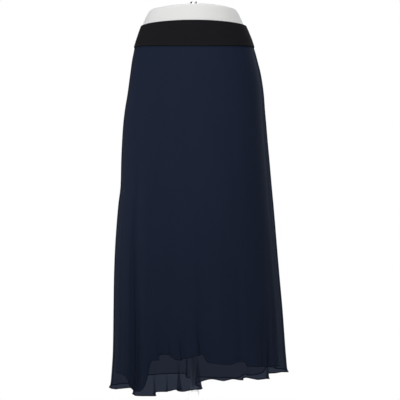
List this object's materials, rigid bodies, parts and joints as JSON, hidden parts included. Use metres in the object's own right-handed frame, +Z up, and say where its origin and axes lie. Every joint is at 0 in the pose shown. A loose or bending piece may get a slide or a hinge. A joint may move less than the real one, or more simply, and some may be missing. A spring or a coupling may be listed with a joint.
{
  "type": "maxi skirt on hip dress form",
  "caption": "Long navy skirt with a sheer pleated overlay, a shorter opaque lining and a wide flat black waistband, on a white limbless hip form with a dark pole and a round white foot.",
  "frame": {"origin": "middle of the round foot's underside, on the floor", "axes": "+Z up along the pole, -Y out of the skirt's front, +X to the right seen from the front"},
  "size_m": [0.4691, 0.3781, 1.131],
  "materials": {
    "overlay_cloth": "sheer navy chiffon, softly pleated, dull",
    "lining_cloth": "opaque navy lining, smooth and dull",
    "band_cloth": "matte black elastic band",
    "form_skin": "satin white",
    "stand_paint": "satin white paint",
    "pole_steel": "dark brushed steel",
    "spigot_metal": "polished"
  },
  "bodies": {
    "root": {"waistband": "band_cloth", "skirt_front": "overlay_cloth", "skirt_back": "overlay_cloth", "lining_front": "lining_cloth", "lining_back": "lining_cloth", "form_body": "form_skin", "form_spigot": "spigot_metal", "form_pole": "pole_steel", "form_base": "stand_paint"}
  },
  "joints": []
}
